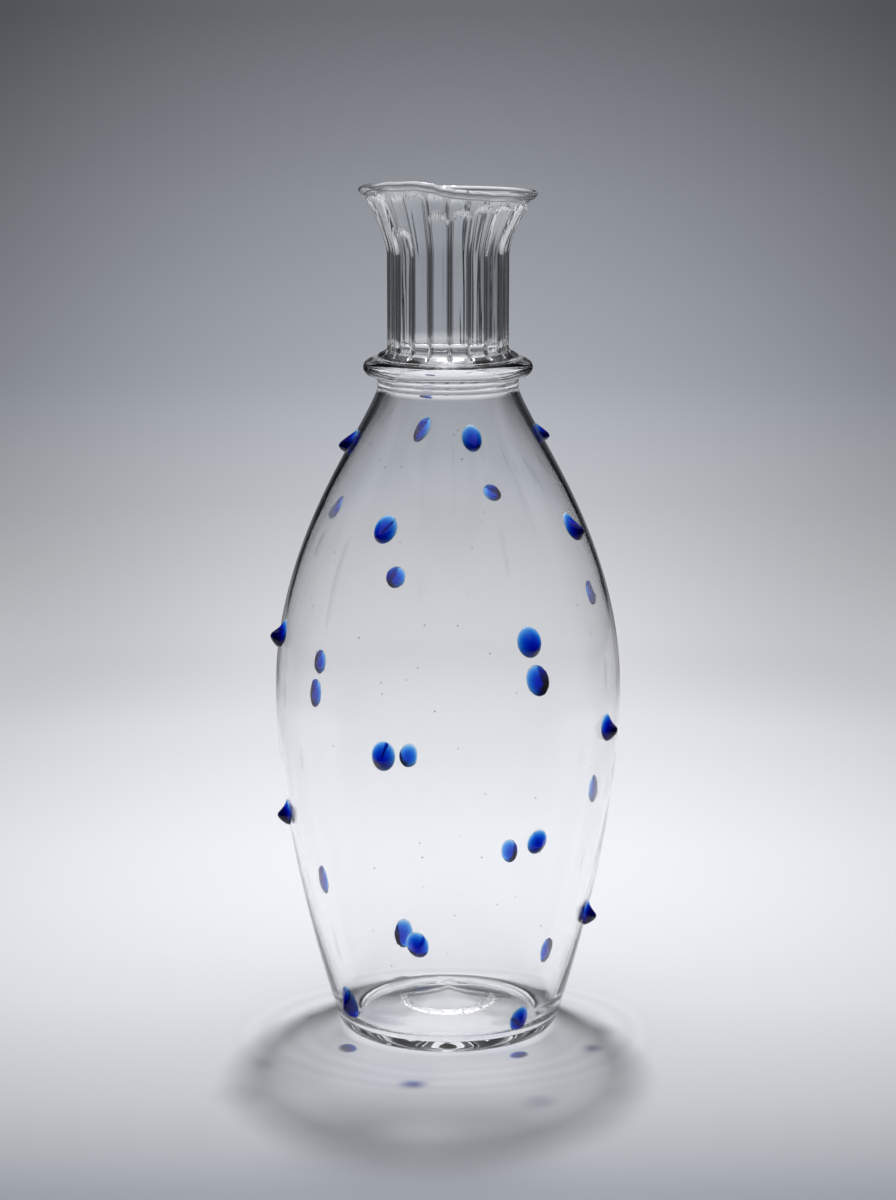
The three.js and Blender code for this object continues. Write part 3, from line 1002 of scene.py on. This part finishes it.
def pool_tone(finish, x, y, radius, z):
    """The floor and the sweep behind it: a pool of light at each side that fades out and up."""
    floor_stops = [(at, tinted(tone)) for at, tone in FLOOR_TONES]
    along = finish.ramp(y, -0.6, 0.6, floor_stops)
    reach = radius + z
    first, last = SWEEP_TONES[0][0], SWEEP_TONES[-1][0]
    outwards = finish.ramp(reach, first, last, [(at, tinted(tone)) for at, tone in SWEEP_TONES])
    side = finish.larger(1 / (1 + x * x * SIDE_SPREAD), SIDE_LEAST)
    turn = finish.node("ShaderNodeMath", {"operation": "ARCTAN2"}, {0: x, 1: y})
    wave = finish.node("ShaderNodeMath", {"operation": "COSINE"}, {0: turn * POOLS})
    depth = finish.ramp(reach, 0.6, 4.4, [(at, (share, share, share)) for at, share in POOL_DEPTHS])
    front = finish.span(y, *FRONT_SPAN, FRONT_SHARE, 1)
    between = (1 - wave) / 2
    strips = finish.span(between, *STRIP_EDGE) * finish.span(reach, *STRIP_REACH)
    beside = finish.node("ShaderNodeMath", {"operation": "ABSOLUTE"}, {0: turn})
    gap = finish.span(beside, *GAP_START) * finish.span(beside, *GAP_END, 1, 0)
    gap = gap * finish.span(reach, *GAP_REACH)
    pools = (1 - depth * between) * (1 - strips * STRIP_DEPTH) * (1 - gap * GAP_DEPTH) * front
    near = finish.node("ShaderNodeVectorMath", {"operation": "SCALE"}, {0: along, 3: side})
    far = finish.node("ShaderNodeVectorMath", {"operation": "SCALE"}, {0: outwards, 3: pools})
    share = finish.span(radius, 0.4, 0.62)
    return finish.mix(share, near, far)


def seen_rays(finish):
    """1 for what the camera sees directly or through glass, less in a mirror, 0 for plain lighting."""
    path = finish.node("ShaderNodeLightPath", {}, {}, out="Is Camera Ray").socket.node.outputs
    through = Wire(finish, path["Is Camera Ray"]) + Wire(finish, path["Is Transmission Ray"])
    mirrored = Wire(finish, path["Is Glossy Ray"]) * MIRRORED_SHARE
    return 1 - finish.larger(1 - through - mirrored, 0)


def gathered_light(finish, vector, x, y, radius):
    """Light that the glass gathers on the floor, painted into its colour: under the foot, and in faint
    rings round it.
    """
    under = 1 + (FOOT_GLOW - 1) * finish.span(radius, *FOOT_GLOW_EDGE, 1, 0)
    forward = y + RINGS_BACK
    wander = finish.node("ShaderNodeTexNoise", {}, {"Vector": vector, "Scale": 22.0, "Detail": 2.0})
    reach = (x * x + forward * forward * RINGS_SQUEEZE) ** 0.5 + (wander - 0.5) * RINGS_WANDER
    ripple = finish.node("ShaderNodeMath", {"operation": "SINE"}, {0: reach * (FULL_TURN / RING_SPACING)})
    near = finish.span(reach, *RINGS_START) * finish.span(reach, *RINGS_END, 1, 0)
    return under * (1 + ripple * near * RING_STRENGTH)


def make_floor():
    bpy.ops.object.select_all(action="DESELECT")
    bpy.ops.mesh.primitive_circle_add(vertices=ROOM_STEPS, radius=FLOOR_EDGE, fill_type="NGON",
                                      location=(0, 0, -FLOOR_DROP))
    floor = bpy.context.object
    floor.name = "floor"
    material, finish = new_material("pale_floor")
    vector = finish.place()
    x, y, z = finish.numbers(vector)
    radius = (x * x + y * y) ** 0.5
    tone = pool_tone(finish, x, y, radius, z)
    # Painted light: the glow under the foot and the rings round it
    gathered = gathered_light(finish, vector, x, y, radius)
    # Painted light: the floor is brighter where it is seen through the glass
    behind = finish.node("ShaderNodeLightPath", {}, {}, out="Is Transmission Ray")
    brightness = gathered * (1 + behind * BEHIND_GLASS)
    lit = finish.node("ShaderNodeVectorMath", {"operation": "SCALE"}, {0: tone, 3: brightness})
    paper = finish.node("ShaderNodeBsdfDiffuse", {}, {"Color": lit})
    glow = finish.node("ShaderNodeEmission", {}, {"Color": tone, "Strength": seen_rays(finish)})
    share = finish.span(radius, 0.42, 0.58)
    surface = finish.node("ShaderNodeMixShader", {}, {0: share, 1: paper, 2: glow})
    finish.node("ShaderNodeOutputMaterial", {}, {"Surface": surface})
    floor.data.materials.append(material)


def make_sweep():
    """The room round the floor: a ring that runs outwards and curves up into a wall."""
    curve_up = arc((SWEEP_FOOT, SWEEP_TOP - SWEEP_FOOT), SWEEP_TOP - SWEEP_FOOT, -90, 0, SWEEP_STEPS)
    outline = [(FLOOR_EDGE, -FLOOR_DROP)] + curve_up + [(SWEEP_TOP, 2.2)]
    sweep = turned("backdrop", [(radius / MM, height / MM) for radius, height in outline], ROOM_STEPS)
    material, finish = new_material("backdrop")
    vector = finish.place()
    x, y, z = finish.numbers(vector)
    radius = (x * x + y * y) ** 0.5
    tone = pool_tone(finish, x, y, radius, z)
    glow = finish.node("ShaderNodeEmission", {}, {"Color": tone, "Strength": seen_rays(finish)})
    finish.node("ShaderNodeOutputMaterial", {}, {"Surface": glow})
    sweep.data.materials.append(material)
    sweep.visible_diffuse = False
    sweep.visible_shadow = False


def make_room_light():
    world = bpy.data.worlds.new("room")
    bpy.context.scene.world = world
    world.use_nodes = True
    finish = Finish(world.node_tree)
    seen = seen_rays(finish)
    direction = finish.node("ShaderNodeTexCoord", {}, {}, out="Generated")
    towards_back = finish.numbers(direction)[1]
    sky = finish.span(towards_back, *SKY_SPAN, SKY_TONE * FRONT_SHARE, SKY_TONE)
    strength = seen * sky + (1 - seen) * WORLD_TONE
    light = finish.node("ShaderNodeBackground", {}, {"Color": SKY_COLOUR, "Strength": strength})
    finish.node("ShaderNodeOutputWorld", {}, {"Surface": light})


def make_lamp():
    bpy.ops.object.light_add(type="AREA", location=LAMP_PLACE)
    lamp = bpy.context.object
    lamp.name = "overhead_softbox"
    lamp.data.shape = "DISK"
    lamp.data.size = LAMP_SIZE
    lamp.data.energy = LAMP_POWER
    lamp.rotation_euler = (Vector(LAMP_TARGET) - lamp.location).to_track_quat("-Z", "Y").to_euler()


def make_camera():
    camera = bpy.data.objects.new("camera", bpy.data.cameras.new("camera"))
    bpy.context.scene.collection.objects.link(camera)
    camera.location = CAMERA_PLACE
    camera.rotation_euler = (math.radians(90 - CAMERA_DIP), 0, 0)
    camera.data.sensor_fit = "VERTICAL"
    camera.data.sensor_height = CAMERA_FILM
    camera.data.lens = CAMERA_LENS
    bpy.context.scene.camera = camera


make_camera()
make_carafe()
make_floor()
make_sweep()
make_room_light()
make_lamp()
bpy.context.scene.view_settings.view_transform = "Standard"

# A line of sight crosses many walls of glass, so light may bend and bounce often
bpy.context.scene.cycles.caustics_refractive = False
bpy.context.scene.cycles.caustics_reflective = False
bpy.context.scene.cycles.max_bounces = 32
bpy.context.scene.cycles.glossy_bounces = 24
bpy.context.scene.cycles.transmission_bounces = 32
